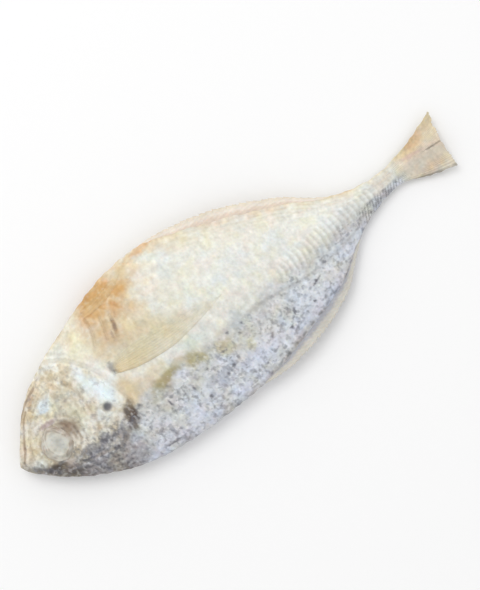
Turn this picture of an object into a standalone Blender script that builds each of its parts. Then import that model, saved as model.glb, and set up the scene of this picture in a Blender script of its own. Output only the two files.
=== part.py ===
"""A whole dried trevally, lying on its left flank.

The fish is one solid: a lofted body that runs into the tail fin, with the gill covers, cheek plates, eyes,
jaws, scutes and fins fused on. +X points from the tail to the head, +Y from the belly to the back, and +Z
out of the right flank. The origin is the middle of the outline, on the surface that the fish lies on.

Run it with: blender --background --python part.py
"""

import math

import bmesh
import bpy
from mathutils import Vector, noise
from mathutils.bvhtree import BVHTree

NODE = "trevally"

# Driving dimensions, in metres. Places on the fish are given in percent of its length, as fish are measured.
LENGTH = 0.150
PERCENT = LENGTH / 100
RIGHT, LEFT = 1, -1  # the two flanks: the right one faces up

# The body's ribs, from the snout to the end of the tail fin, in percent of the length:
# place along the body, height of the back, height of the belly, half thickness, height of the middle plane.
RIBS = (
    (50.0, 2.4, 2.4, 0.10, 3.00),
    (49.1, 4.2, 0.9, 0.85, 3.10),
    (47.0, 6.5, -1.9, 1.65, 3.20),
    (43.8, 9.3, -5.6, 2.55, 3.30),
    (40.0, 11.8, -8.5, 3.20, 3.35),
    (35.0, 14.4, -11.1, 3.60, 3.35),
    (29.4, 16.3, -13.2, 3.80, 3.35),
    (23.6, 17.3, -15.3, 3.85, 3.35),
    (15.7, 17.7, -17.2, 3.75, 3.35),
    (7.8, 17.5, -17.4, 3.55, 3.35),
    (0.0, 16.6, -15.1, 3.25, 3.30),
    (-6.8, 14.9, -12.7, 2.95, 3.15),
    (-13.0, 13.1, -10.0, 2.55, 2.90),
    (-18.5, 11.1, -7.5, 2.15, 2.60),
    (-23.3, 7.9, -4.6, 1.80, 2.25),
    (-27.9, 5.3, -2.8, 1.50, 1.90),
    (-32.5, 3.7, -1.7, 1.20, 1.60),
    (-36.5, 3.0, -1.6, 0.95, 1.40),
    (-39.5, 3.2, -2.0, 0.75, 1.30),
    (-43.4, 4.8, -3.0, 0.48, 1.45),
    (-49.2, 6.4, -5.2, 0.27, 2.10),
)
PEDUNCLE_RIB, TAIL_RIB = 16, len(RIBS) - 1  # the narrow stalk, and the end of the tail fin
RINGS_PER_RIB = 3
RING_SIDES = 26

# Cross-section
EDGE_SHARPNESS = 1.22  # over 1 draws the back and the belly in to keels
FIN_SHARPNESS = 0.35  # the tail fin is a plate with blunt edges
BACK_FULLNESS = 0.10  # the muscle above the backbone is thicker than the belly wall
LOWER_FLANK = 0.90  # the flank that the fish dried on is flatter
FORK_DEPTH = 0.6
TAIL_SLANT = 0.8  # the lower lobe of the tail fin ends further back

# Large hollows and swells of each flank: place, height, half length, half height, rise
FLANK_RELIEF = (
    (17.0, -10.5, 9.0, 5.0, -0.55),  # the sunk wall of the belly
    (41.5, -4.6, 3.5, 2.4, -0.35),  # the cheek under the eye
    (24.0, 8.5, 5.0, 4.0, -0.25),  # the nape
    (-3.0, -6.0, 12.0, 5.0, 0.20),  # the swell over the ribs
    (9.0, 8.0, 14.0, 3.5, 0.25),  # the muscle over the backbone
)
LUMP_RISE, LUMP_SIZE, LUMP_SEED = 0.22, 7.0, 31.0
RELIEF_THICKNESS = 2.2  # where the fish is thinner than this, its flanks have less relief

# Head
EYE = (41.3, 3.0)
SOCKET_FLOOR, SOCKET_EDGE, SOCKET_SINK = 1.2, 6.0, 0.55
EYEBALL_RADIUS, EYEBALL_RISE = 2.9, 0.75
RIM_RADIUS, RIM_THICKNESS = 4.1, 0.34
# Each plate is an arc: its centre, radius, first and last angle in degrees, width, and rise at its rear edge.
GILL_COVER = ((38.3, 1.2), 11.9, (138, 256), 5.0, 0.50)
CHEEK_PLATE = ((41.0, -0.4), 7.9, (150, 262), 2.6, 0.26)
PLATE_SINK, PLATE_TAPER = 0.12, 8  # its front edge is under the skin, and an eighth at each end slopes down
UPPER_JAW = ((49.5, 2.3), (46.6, -0.9), (43.6, -4.0))
LOWER_JAW = ((49.1, 1.0), (46.0, -2.5), (42.2, -6.3))
JAW_THICKNESS = 0.42

# Pressed fins. Each is a leaf: its upper edge, its lower edge, which meets the upper one at the tip,
# its rise at the base, and its rays.
PECTORAL_FIN = (
    ((25.2, -0.9), (20.6, 0.6), (14.0, 1.5), (7.0, 0.9), (0.8, -0.9)),
    ((25.2, -3.4), (19.7, -4.4), (13.6, -3.9), (7.0, -2.6), (0.8, -0.9)),
    0.30,
    6,
)
PELVIC_FIN = (
    ((24.0, -12.4), (20.0, -12.6), (16.5, -13.6), (14.0, -15.2)),
    ((24.0, -14.0), (20.0, -14.9), (16.5, -15.6), (14.0, -15.2)),
    0.28,
    3,
)
LEAF_TIP = 0.97  # a leaf ends this little short of its point, so that its tip stays a whole edge

# Fins that lie folded along the back and the belly: where each starts and ends, and its height
DORSAL_FIN = ((6.0, -27.0), 2.2)
ANAL_FIN = ((9.0, -27.0), 2.0)
FIN_RAYS = 20
FIN_THICKNESS = 0.55
FIN_OVERLAP = 1.1  # how far a fin's foot reaches into the body
FIN_NOTCH = 0.12  # how far its edge draws in between rays, as a share of its height
FIN_LIFT, FIN_RIPPLE = 0.30, 0.15

# Rays of the tail fin, and the keeled scutes along the lateral line
TAIL_RAYS, TAIL_RAY_RISE = 11, 0.10
SCUTES, SCUTE_SPAN = 27, (-6.2, -37.0)
SCUTE_HEIGHT, SCUTE_LENGTH, SCUTE_RISE, SCUTE_SINK = 2.3, 0.42, 0.24, 0.10
LATERAL_LINE_HEIGHT, LATERAL_LINE_SLOPE = 2.85, 0.05

PLATE_DEPTH, LEAF_DEPTH = 0.9, 0.7  # how far a fused plate or a pressed fin reaches under the skin
SKIN_COLOUR = (0.66, 0.62, 0.52, 1.0)
SKIN_ROUGHNESS = 0.55


def clear_scene():
    for obj in list(bpy.data.objects):
        bpy.data.objects.remove(obj, do_unlink=True)


def new_collection(name, hidden=False):
    collection = bpy.data.collections.new(name)
    collection.hide_render = hidden
    bpy.context.scene.collection.children.link(collection)
    return collection


def skin_material():
    material = bpy.data.materials.new("dried_skin")
    material.use_nodes = True
    shader = material.node_tree.nodes["Principled BSDF"]
    shader.inputs["Base Color"].default_value = SKIN_COLOUR
    shader.inputs["Roughness"].default_value = SKIN_ROUGHNESS
    shader.inputs["Metallic"].default_value = 0.0
    return material


def add_object(name, mesh, collection):
    obj = bpy.data.objects.new(name, mesh)
    collection.objects.link(obj)
    return obj


def smooth_step(value):
    value = min(max(value, 0.0), 1.0)
    return value * value * (3 - 2 * value)


def through(points, place):
    """The point at place, counted in steps between points, on a smooth curve through all of them."""
    step = min(int(place), len(points) - 2)
    part = place - step
    before, start, end, after = (points[min(max(step + i, 0), len(points) - 1)] for i in (-1, 0, 1, 2))
    return tuple(
        b + 0.5 * part * (c - a + part * (2 * a - 5 * b + 4 * c - d + part * (3 * b - a - 3 * c + d)))
        for a, b, c, d in zip(before, start, end, after)
    )


def rib_at(x):
    """The rib at a place along the body, found by halving, since the ribs aren't evenly spaced."""
    head, tail = 0.0, float(len(RIBS) - 1)
    for _ in range(30):
        half = (head + tail) / 2
        head, tail = (half, tail) if through(RIBS, half)[0] > x else (head, half)
    return through(RIBS, head)


def relief(x, y):
    """How far the skin stands out of the plain lens-shaped flank at a place on it, in percent."""
    rise = LUMP_RISE * noise.noise(Vector((x, y, LUMP_SEED)) / LUMP_SIZE)
    for centre_x, centre_y, half_length, half_height, height in FLANK_RELIEF:
        away = ((x - centre_x) / half_length) ** 2 + ((y - centre_y) / half_height) ** 2
        rise += height * math.exp(-away)
    from_eye = math.hypot(x - EYE[0], y - EYE[1])
    return rise - SOCKET_SINK * smooth_step((SOCKET_EDGE - from_eye) / (SOCKET_EDGE - SOCKET_FLOOR))


def body_point(place, angle):
    """The skin at a place counted in ribs from the snout, at an angle round the ring from the back."""
    x, back, belly, half_thickness, middle = through(RIBS, place)
    finward = smooth_step((place - PEDUNCLE_RIB) / (TAIL_RIB - PEDUNCLE_RIB))
    across, out = math.cos(angle), math.sin(angle)
    y = (back + belly) / 2 + (back - belly) / 2 * across
    x += finward**3 * (TAIL_SLANT * across + FORK_DEPTH * (1 - abs(across)) ** 2)
    sharpness = EDGE_SHARPNESS + (FIN_SHARPNESS - EDGE_SHARPNESS) * finward
    bulge = half_thickness * abs(out) ** sharpness * (1 + BACK_FULLNESS * across)
    bulge += relief(x, y) * out**2 * smooth_step(half_thickness / RELIEF_THICKNESS)
    if out < 0:
        bulge *= -LOWER_FLANK
    return Vector((x, y, middle + bulge)) * PERCENT


def body_mesh():
    """Rings lofted from the snout to the tail fin, closed by a point at the snout and a strip at the tail."""
    bm = bmesh.new()
    snout = bm.verts.new(body_point(0, 0))
    rings = [
        [
            bm.verts.new(body_point(ring / RINGS_PER_RIB, 2 * math.pi * side / RING_SIDES))
            for side in range(RING_SIDES)
        ]
        for ring in range(1, TAIL_RIB * RINGS_PER_RIB + 1)
    ]
    for side in range(RING_SIDES):
        following = (side + 1) % RING_SIDES
        bm.faces.new((snout, rings[0][side], rings[0][following]))
        for front, rear in zip(rings, rings[1:]):
            bm.faces.new((front[side], rear[side], rear[following], front[following]))
    end = rings[-1]
    for side in range(RING_SIDES // 2):
        quad = [end[side], end[-side], end[-side - 1], end[side + 1]]
        bm.faces.new(list(dict.fromkeys(quad)))
    bmesh.ops.recalc_face_normals(bm, faces=bm.faces)
    mesh = bpy.data.meshes.new("body")
    bm.to_mesh(mesh)
    bm.free()
    return mesh


class Skin:
    """The body's surface, for laying plates and fins on it."""

    def __init__(self, mesh):
        bm = bmesh.new()
        bm.from_mesh(mesh)
        self.tree = BVHTree.FromBMesh(bm)
        bm.free()

    def at(self, x, y, rise, flank):
        """The point of a flank over (x, y), lifted by rise, all in percent, as a place in metres."""
        start = Vector((x * PERCENT, y * PERCENT, flank * LENGTH))
        hit = self.tree.ray_cast(start, Vector((0, 0, -flank)))[0]
        if hit is None:
            hit = self.tree.find_nearest(Vector((start.x, start.y, rib_at(x)[4] * PERCENT)))[0]
        return Vector((start.x, start.y, hit.z + flank * rise * PERCENT))


def plate(name, collection, segments, place_at, depth=PLATE_DEPTH, flank=RIGHT, offset=-1.0):
    """A closed plate: a grid whose corners go where place_at(along, across) says, thickened inwards."""
    bm = bmesh.new()
    bmesh.ops.create_grid(bm, x_segments=segments[0], y_segments=segments[1], size=0.5)
    for vertex in bm.verts:
        vertex.co = place_at(vertex.co.x + 0.5, vertex.co.y + 0.5)
    bm.normal_update()
    if sum(face.normal.z for face in bm.faces) * flank < 0:
        bmesh.ops.reverse_faces(bm, faces=bm.faces)
    mesh = bpy.data.meshes.new(name)
    bm.to_mesh(mesh)
    bm.free()
    obj = add_object(name, mesh, collection)
    shell = obj.modifiers.new("shell", "SOLIDIFY")
    shell.thickness = depth * PERCENT
    shell.offset = offset
    return obj


def arc_plate(name, collection, skin, flank, centre, radius, angles, width, rise):
    """A plate of the head that stands proud at its rear edge, an arc, and runs into the skin in front."""

    def place_at(along, across):
        angle = math.radians(angles[0] + (angles[1] - angles[0]) * along)
        reach = radius - width * (1 - across)
        proud = across * smooth_step(min(along, 1 - along) * PLATE_TAPER)
        height = rise * proud**1.5 - PLATE_SINK * (1 - proud)
        x, y = centre[0] + reach * math.cos(angle), centre[1] + reach * math.sin(angle)
        return skin.at(x, y, height, flank)

    return plate(name, collection, (16, 4), place_at, flank=flank)


def leaf_fin(name, collection, skin, flank, top, bottom, rise, rays):
    """A fin pressed flat on the flank, ribbed by its rays, between a top and a bottom edge."""
    steps = len(top) - 1

    def place_at(along, across):
        upper, lower = (through(edge, along * steps * LEAF_TIP) for edge in (top, bottom))
        x, y = (low + (high - low) * across for low, high in zip(lower, upper))
        ribbed = 0.5 + 0.5 * abs(math.cos(math.pi * rays * across))
        return skin.at(x, y, rise * ribbed * (1 - 0.5 * along), flank)

    return plate(name, collection, (9, 2 * rays), place_at, LEAF_DEPTH, flank)


def edge_fin(name, collection, span, height, side):
    """A low fin that lies folded along the back (side 0) or the belly (side 1), with a ray at each notch."""
    def place_at(along, across):
        x = span[0] + (span[1] - span[0]) * along
        _, back, belly, _, middle = rib_at(x)
        foot = (back - FIN_OVERLAP, belly + FIN_OVERLAP)[side]
        outward = (1, -1)[side]
        ray = math.cos(math.pi * FIN_RAYS * along)
        bow = math.sin(math.pi * along)
        reach = FIN_OVERLAP * (1 + bow) / 2 + height * (1 - FIN_NOTCH * (1 - abs(ray))) * bow**0.8
        lift = (FIN_LIFT + FIN_RIPPLE * ray * across) * bow
        return Vector((x, foot + outward * reach * across, middle + lift)) * PERCENT

    return plate(name, collection, (2 * FIN_RAYS, 2), place_at, FIN_THICKNESS, offset=0.0)


def eye(collection, skin, flank):
    """A clouded eyeball and the dried rim of skin round it."""
    centre = skin.at(*EYE, 0.0, flank)
    bm = bmesh.new()
    bmesh.ops.create_uvsphere(bm, u_segments=16, v_segments=8, radius=EYEBALL_RADIUS * PERCENT)
    bmesh.ops.scale(bm, vec=(1, 1, EYEBALL_RISE / EYEBALL_RADIUS), verts=bm.verts)
    mesh = bpy.data.meshes.new("eyeball")
    bm.to_mesh(mesh)
    bm.free()
    add_object("eyeball", mesh, collection).location = centre
    rim = bpy.data.curves.new("eye_rim", "CURVE")
    rim.dimensions = "3D"
    rim.bevel_depth = RIM_THICKNESS * PERCENT
    rim.bevel_resolution = 1
    sides = 20
    spline = rim.splines.new("POLY")
    spline.points.add(sides - 1)
    spline.use_cyclic_u = True
    for i, point in enumerate(spline.points):
        angle = 2 * math.pi * i / sides
        x, y = EYE[0] + RIM_RADIUS * math.cos(angle), EYE[1] + RIM_RADIUS * math.sin(angle)
        point.co = (*skin.at(x, y, 0.05, flank), 1)
    curve_to_mesh(add_object("eye_rim", rim, collection), collection)


def wire(name, collection, points, radii):
    """A tube through points, as a mesh, with a radius in percent at each point."""
    curve = bpy.data.curves.new(name, "CURVE")
    curve.dimensions = "3D"
    curve.bevel_depth = PERCENT
    curve.bevel_resolution = 1
    curve.use_fill_caps = True
    spline = curve.splines.new("POLY")
    spline.points.add(len(points) - 1)
    for point, place, radius in zip(spline.points, points, radii):
        point.co = (*place, 1)
        point.radius = radius
    return curve_to_mesh(add_object(name, curve, collection), collection)


def curve_to_mesh(obj, collection):
    """Replaces a curve object by a mesh of the same shape, with its caps welded, so that it can be joined."""
    bpy.context.view_layer.update()
    evaluated = obj.evaluated_get(bpy.context.evaluated_depsgraph_get())
    mesh = bpy.data.meshes.new_from_object(evaluated)
    bm = bmesh.new()
    bm.from_mesh(mesh)
    bmesh.ops.remove_doubles(bm, verts=bm.verts, dist=1e-6)
    bm.to_mesh(mesh)
    bm.free()
    name, matrix = obj.name, obj.matrix_world.copy()
    bpy.data.objects.remove(obj, do_unlink=True)
    made = add_object(name, mesh, collection)
    made.matrix_world = matrix
    return made


def jaw(name, collection, skin, flank, line):
    steps = 8
    points = [
        skin.at(*through(line, (len(line) - 1) * i / steps), 0.05, flank) for i in range(steps + 1)
    ]
    bows = [math.sin(math.pi * i / steps) ** 0.5 for i in range(steps + 1)]
    return wire(name, collection, points, [JAW_THICKNESS * (0.4 + 0.6 * bow) for bow in bows])


def tail_rays(collection):
    """Rays that fan out from the stalk to the end of the tail fin, thicker than the web between them."""
    steps = 3
    for ray in range(TAIL_RAYS):
        angle = math.acos(1 - 2 * (ray + 0.5) / TAIL_RAYS)
        points, radii = [], []
        for step in range(steps + 1):
            place = PEDUNCLE_RIB + 1 + (TAIL_RIB - PEDUNCLE_RIB - 1.04) * step / steps
            upper, lower = body_point(place, angle), body_point(place, -angle)
            rise = TAIL_RAY_RISE * (1 if step else -1)
            points.append((upper + lower) / 2)
            radii.append((upper - lower).length / 2 / PERCENT + rise)
        wire("tail_ray", collection, points, radii)


def scutes(collection, skin, flank):
    """Keeled plates in a row along the straight part of the lateral line, tallest in the middle."""
    spacing = (SCUTE_SPAN[0] - SCUTE_SPAN[1]) / SCUTES
    for i in range(SCUTES):
        along = (i + 0.5) / SCUTES
        x = SCUTE_SPAN[0] - spacing * (i + 0.5)
        y = LATERAL_LINE_HEIGHT + LATERAL_LINE_SLOPE * x
        half_height = SCUTE_HEIGHT * (0.25 + 0.75 * math.sin(math.pi * along) ** 0.7)
        bm = bmesh.new()
        bmesh.ops.create_cone(bm, cap_ends=True, segments=6, radius1=1.0, radius2=0.55, depth=2.0)
        size = Vector((SCUTE_LENGTH * spacing, half_height, flank * (SCUTE_RISE + SCUTE_SINK)))
        bmesh.ops.scale(bm, vec=size * PERCENT, verts=bm.verts)
        bmesh.ops.recalc_face_normals(bm, faces=bm.faces)
        mesh = bpy.data.meshes.new("scute")
        bm.to_mesh(mesh)
        bm.free()
        add_object("scute", mesh, collection).location = skin.at(x, y, -SCUTE_SINK, flank)


def rest_surface(collection):
    """A block whose top is the surface that the fish lies on. It trims the lower flank to a flat spot."""
    bm = bmesh.new()
    bmesh.ops.create_cube(bm, size=1.0)
    bmesh.ops.scale(bm, vec=(2 * LENGTH, LENGTH, LENGTH / 5), verts=bm.verts)
    bmesh.ops.translate(bm, vec=(0, 0, -LENGTH / 10), verts=bm.verts)
    mesh = bpy.data.meshes.new("rest_surface")
    bm.to_mesh(mesh)
    bm.free()
    obj = add_object("rest_surface", mesh, collection)
    obj.hide_render = True
    obj.display_type = "WIRE"
    return obj


def apply_modifiers(obj):
    bpy.context.view_layer.update()
    evaluated = obj.evaluated_get(bpy.context.evaluated_depsgraph_get())
    mesh = bpy.data.meshes.new_from_object(evaluated)
    obj.modifiers.clear()
    obj.data = mesh


def build_fish():
    clear_scene()
    fish = new_collection("dried_trevally")
    fused = new_collection("fused_pieces", hidden=True)
    cutters = new_collection("cutters", hidden=True)
    body = add_object(NODE, body_mesh(), fish)
    skin = Skin(body.data)
    for flank in (RIGHT, LEFT):
        arc_plate("gill_cover", fused, skin, flank, *GILL_COVER)
        arc_plate("cheek_plate", fused, skin, flank, *CHEEK_PLATE)
        leaf_fin("pectoral_fin", fused, skin, flank, *PECTORAL_FIN)
        leaf_fin("pelvic_fin", fused, skin, flank, *PELVIC_FIN)
        jaw("upper_jaw", fused, skin, flank, UPPER_JAW)
        jaw("lower_jaw", fused, skin, flank, LOWER_JAW)
        scutes(fused, skin, flank)
        eye(fused, skin, flank)
    edge_fin("dorsal_fin", fused, *DORSAL_FIN, side=0)
    edge_fin("anal_fin", fused, *ANAL_FIN, side=1)
    tail_rays(fused)

    union = body.modifiers.new("fuse", "BOOLEAN")
    union.operation = "UNION"
    union.operand_type = "COLLECTION"
    union.collection = fused
    union.solver = "EXACT"
    apply_modifiers(body)
    for obj in list(fused.objects):
        bpy.data.objects.remove(obj, do_unlink=True)

    trim = body.modifiers.new("rest", "BOOLEAN")
    trim.operation = "DIFFERENCE"
    trim.object = rest_surface(cutters)
    trim.solver = "EXACT"
    body.data.materials.clear()
    body.data.materials.append(skin_material())
    body.data.shade_smooth()
    body.data.set_sharp_from_angle(angle=math.radians(40))


build_fish()
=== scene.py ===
"""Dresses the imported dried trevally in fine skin, eyes and fins, and sets up its floor, light and camera.

Places on the fish are in percent of its length, as in the solid: x runs from the tail fin's end (-50) to the
snout (50), and y from the belly to the back. The right flank faces up.
"""
import math

import bmesh
import bpy
import numpy as np
from mathutils import Matrix, Vector, noise


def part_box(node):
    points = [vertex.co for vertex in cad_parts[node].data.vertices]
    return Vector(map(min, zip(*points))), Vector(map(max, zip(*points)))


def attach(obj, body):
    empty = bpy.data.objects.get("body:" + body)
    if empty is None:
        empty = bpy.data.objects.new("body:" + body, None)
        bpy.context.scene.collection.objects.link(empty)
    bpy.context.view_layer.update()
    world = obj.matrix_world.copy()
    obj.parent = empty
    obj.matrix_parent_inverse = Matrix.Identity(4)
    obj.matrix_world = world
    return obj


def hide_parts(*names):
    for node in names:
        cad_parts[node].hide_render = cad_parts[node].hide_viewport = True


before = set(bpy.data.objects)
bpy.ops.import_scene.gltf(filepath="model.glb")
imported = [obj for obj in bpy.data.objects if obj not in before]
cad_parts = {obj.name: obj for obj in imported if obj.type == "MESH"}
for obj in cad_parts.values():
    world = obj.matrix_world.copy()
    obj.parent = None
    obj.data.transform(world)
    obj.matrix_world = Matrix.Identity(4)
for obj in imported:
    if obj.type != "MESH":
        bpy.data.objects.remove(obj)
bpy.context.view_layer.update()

NODE, BODY, SLOT = "trevally", "root", "dried_skin"
LOW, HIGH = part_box(NODE)
PERCENT = (HIGH.x - LOW.x) / 100
RIGHT, LEFT = 1, -1

# The body's ribs, as in the solid: place, back, belly, half thickness, middle plane.
RIBS = (
    (50.0, 2.4, 2.4, 0.1, 3.0),
    (49.1, 4.2, 0.9, 0.85, 3.1),
    (47.0, 6.5, -1.9, 1.65, 3.2),
    (43.8, 9.3, -5.6, 2.55, 3.3),
    (40.0, 11.8, -8.5, 3.2, 3.35),
    (35.0, 14.4, -11.1, 3.6, 3.35),
    (29.4, 16.3, -13.2, 3.8, 3.35),
    (23.6, 17.3, -15.3, 3.85, 3.35),
    (15.7, 17.7, -17.2, 3.75, 3.35),
    (7.8, 17.5, -17.4, 3.55, 3.35),
    (0.0, 16.6, -15.1, 3.25, 3.3),
    (-6.8, 14.9, -12.7, 2.95, 3.15),
    (-13.0, 13.1, -10.0, 2.55, 2.9),
    (-18.5, 11.1, -7.5, 2.15, 2.6),
    (-23.3, 7.9, -4.6, 1.8, 2.25),
    (-27.9, 5.3, -2.8, 1.5, 1.9),
    (-32.5, 3.7, -1.7, 1.2, 1.6),
    (-36.5, 3.0, -1.6, 0.95, 1.4),
    (-39.5, 3.2, -2.0, 0.75, 1.3),
    (-43.4, 4.8, -3.0, 0.48, 1.45),
    (-49.2, 6.4, -5.2, 0.27, 2.1),
)
STALK_RIB, TAIL_RIB = 16, len(RIBS) - 1
EDGE_SHARPNESS, FIN_SHARPNESS = 1.22, 0.35
BACK_FULLNESS, LOWER_FLANK, SKIN_SHARE = 0.1, 0.9, 0.985
FORK_DEPTH, TAIL_SLANT, TAIL_WAVE, FIN_THINNING = 0.6, 0.8, 0.3, 0.35
RINGS, SIDES = 640, {RIGHT: 150, LEFT: 110}
HEAD_PLACE, HEAD_RINGS_SHARE = 25.0, 0.36  # the head gets more rings than the rest
END_TAPER = 0.06  # the flanks close at both ends over this share of a rib's step
LOWEST, TOP = 0.04, HIGH.z / PERCENT  # the skin's lowest level over the floor, and the solid's top
MERGE_DISTANCE, THINNEST = 1e-6, 0.01

# Large relief, as in the solid: place, height, half length, half height, rise
FLANK_RELIEF = (
    (17.0, -10.5, 9.0, 5.0, -0.55),
    (41.5, -4.6, 3.5, 2.4, -0.35),
    (24.0, 8.5, 5.0, 4.0, -0.25),
    (-3.0, -6.0, 12.0, 5.0, 0.2),
    (9.0, 8.0, 14.0, 3.5, 0.25),
)
LUMP_RISE, LUMP_SIZE, LUMP_SEED = 0.22, 7.0, 31.0
RELIEF_THICKNESS = 2.2
EYE = (41.3, 3.0)
SOCKET_FLOOR, SOCKET_EDGE, SOCKET_SINK = 1.2, 6.0, 0.55
EYEBALL_RADII, EYEBALL_RISE = (3.15, 3.45), 0.66
EYE_RINGS = ((4.75, 0.4, 0.16), (3.95, 0.28, 0.08))  # radius, width, rise
RING_BEND, RING_BEND_NOISE, RING_GAP_NOISE = 0.3, (2.4, 23), (1.9, 24)  # noises as size and seed

# Edges of the bones of the head, and other lines in the skin, all from the top down
GILL_EDGE = ((29.6, 10.4), (27.9, 8.9), (26.6, 6.2), (26.5, 3.4), (27.1, 0.0), (28.3, -3.4), (30.4, -6.7),
             (33.2, -9.3), (36.6, -10.7))
HEAD_EDGE = ((32.0, 18.0),) + GILL_EDGE + ((42.0, -11.5),)
CHEEK_EDGE = ((34.2, 6.0), (33.2, 3.0), (33.0, -0.4), (33.6, -3.6), (35.4, -6.8), (38.8, -8.4))
CHEEK_RIDGE = ((35.6, 5.0), (34.9, 2.0), (34.8, -1.2), (35.6, -4.4), (38.0, -6.6))
CREST = ((48.6, 4.0), (46.4, 5.9), (43.7, 7.6), (39.6, 8.6), (35.0, 9.6), (31.0, 10.6))
UPPER_JAW = ((48.7, 3.0), (47.2, 1.4), (45.5, -1.2), (43.8, -3.6), (42.2, -5.0))
LOWER_JAW = ((45.2, -3.2), (43.2, -5.0), (41.0, -6.4), (38.6, -7.4))
CREASES = (
    ((21.0, -5.8), (20.1, -8.4), (19.6, -11.2)),
    ((22.9, -6.2), (22.0, -9.0), (21.4, -11.8)),
    ((25.4, -6.8), (24.2, -9.8), (24.0, -12.8)),
)
# The path of a bright painted highlight down the silvery gill cover
SILVER_HIGHLIGHT_TRAIL = ((28.5, 1.4), (29.8, -1.2), (31.0, -4.6))
LATERAL_ARCH = ((25.4, 8.0), (18.0, 8.2), (9.0, 6.7), (1.0, 4.6), (-6.2, 2.6))
SCUTE_ROOF = ((1.4, 4.5), (-3.6, 4.8), (-9.0, 5.3), (-15.2, 6.0), (-23.7, 5.2), (-29.0, 3.6))
SCUTES, SCUTE_SPAN, SCUTE_HEIGHT, SCUTE_RISE = 27, (-6.2, -37.0), 2.3, 0.12
LINE_HEIGHT, LINE_SLOPE = 2.85, 0.05
TAIL_RAYS, TAIL_RAY_RISE = 9, 0.06
# Pits of the head: place, depth, width
PITS = (((46.3, 4.6), 0.22, 0.3), ((45.5, 5.3), 0.22, 0.3), ((30.0, 3.0), 0.34, 0.75))

# Bony plates: edge, rise, width of its slope, reach to the front, then the groove's depth, place and width
PLATES = (
    (GILL_EDGE, 0.28, 0.8, 4.0, 0.1, 0.55, 0.45),
    (CHEEK_EDGE, 0.16, 0.7, 2.2, 0.07, 0.5, 0.4),
)
# Lines in the skin: curve, the share that fades out at each end, and folds beside it: offset, width, rise
LINE_PROFILES = (
    *((crease, 0.3, ((0.5, 0.4, 0.14), (0.0, 0.28, -0.26))) for crease in CREASES),
    (LATERAL_ARCH, 0.05, ((0.0, 0.32, 0.05),)),
    (SCUTE_ROOF, 0.15, ((0.0, 0.4, -0.05),)),
    (CHEEK_RIDGE, 0.3, ((0.0, 0.45, 0.09),)),
    (CREST, 0.1, ((-0.45, 0.45, 0.12), (0.0, 0.3, -0.13))),
    (UPPER_JAW, 0.08, ((0.0, 0.42, 0.28), (0.62, 0.25, -0.308))),
    (LOWER_JAW, 0.08, ((0.0, 0.42, 0.18), (0.62, 0.25, -0.198))),
)
THROAT_FOLD_RISE, THROAT_FOLD_STEP, THROAT_WIDTH = 0.05, 1.1, 4.0
KEEL_RISE, MUSCLE_RISE, MUSCLE_STEP, EDGE_WEAR = 0.04, 0.01, 2.5, 0.16
HEAD_SKIN_START, TAIL_FIN_START = 28.0, -37.5
SKIN_SEED, PAINT_SEED, CRACK_SEED, HUE_SEED = 10, 40, 200, 300

# Noises: size, weight, seed
FLAKES = ((1.5, 1.0, 20), (0.7, 0.6, 21))
TAIL_NOTCHES = ((0.45, 0.3, 5), (1.8, 0.35, 6))
FIN_NOTCHES = ((0.5, 0.1, 90), (2.2, 0.12, 91))
EYE_LUMPS = ((1.6, 0.09, 70), (0.6, 0.04, 71))
FLAKE_EDGES = (1.1, 22)  # size, seed
WRINKLES = ((4.0, 0.05, 0.7), (1.5, 0.024, 1.3), (0.62, 0.026, 1.5))  # size, rise, stretch

# Fins, as in the solid
PECTORAL_TOP = ((25.2, -0.9), (20.6, 0.6), (14.0, 1.3), (7.0, 0.5), (0.8, -0.9))
PECTORAL_BOTTOM = ((25.2, -3.4), (19.7, -4.4), (13.6, -3.9), (7.0, -2.6), (0.8, -0.9))
PELVIC_TOP = ((24.0, -12.4), (20.0, -12.6), (16.5, -13.6), (14.0, -15.2))
PELVIC_BOTTOM = ((24.0, -14.0), (20.0, -14.9), (16.5, -15.6), (14.0, -15.2))
FIN_FOOT, FIN_SWEEP, EDGE_FIN_RAYS = 1.0, 0.14, 30
LEAF_ROWS, LEAF_FOOT, LEAF_THICKNESS = 110, 0.16, 0.1

# Their colours, from root to tip
PECTORAL_COLOURS = ((222, 196, 150), (208, 192, 151), (216, 206, 180))
PELVIC_COLOURS = ((214, 174, 120), (214, 176, 124), (218, 190, 146))
DORSAL_COLOURS = ((164, 167, 176), (172, 173, 178), (199, 196, 188), (205, 201, 191))
ANAL_COLOURS = ((220, 202, 184), (227, 210, 194), (236, 226, 214), (230, 217, 196))

# Fins pressed on the flanks: upper edge, lower edge, number of rays, rise, colours
PRESSED_FINS = {
    "pectoral_fin": (PECTORAL_TOP, PECTORAL_BOTTOM, 11, 0.13, PECTORAL_COLOURS),
    "pelvic_fin": (PELVIC_TOP, PELVIC_BOTTOM, 5, 0.06, PELVIC_COLOURS),
}
# Fins folded down along the edges: span, height, 1 on the back or -1 on the belly, colours
EDGE_FINS = {
    "dorsal_fin": ((6.0, -27.0), 2.2, 1, DORSAL_COLOURS),
    "anal_fin": ((9.0, -27.0), 2.0, -1, ANAL_COLOURS),
}

# The camera looks straight down, with the snout to the lower left of the picture
PICTURE = (480, 590)
CAMERA_RIGHT, CAMERA_UP = Vector((-0.799, 0.601, 0)), Vector((-0.601, -0.799, 0))
CAMERA_TARGET = Vector((-0.0024, 0.0019, 0.006))
FISH_WIDTH, FISH_PICTURE_SHARE = 0.1208, 0.91  # across the picture, in metres, and its share of the picture
LENS, SENSOR = 100.0, 36.0
KEY_DIRECTION = CAMERA_UP * 0.6 - CAMERA_RIGHT * 0.5 + Vector((0, 0, 1.4))
KEY_DISTANCE, KEY_SIZE, KEY_ENERGY = 0.9, 0.5, 2.2
SKY_STRENGTH, FLOOR_REACH, FLOOR_GAP = 0.8, 3.0, 0.00005


# ---------- curves and noise


def ramp(value):
    """0 under 0, 1 over 1, and a smooth rise between."""
    value = np.clip(value, 0.0, 1.0)
    return value * value * (3 - 2 * value)


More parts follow.
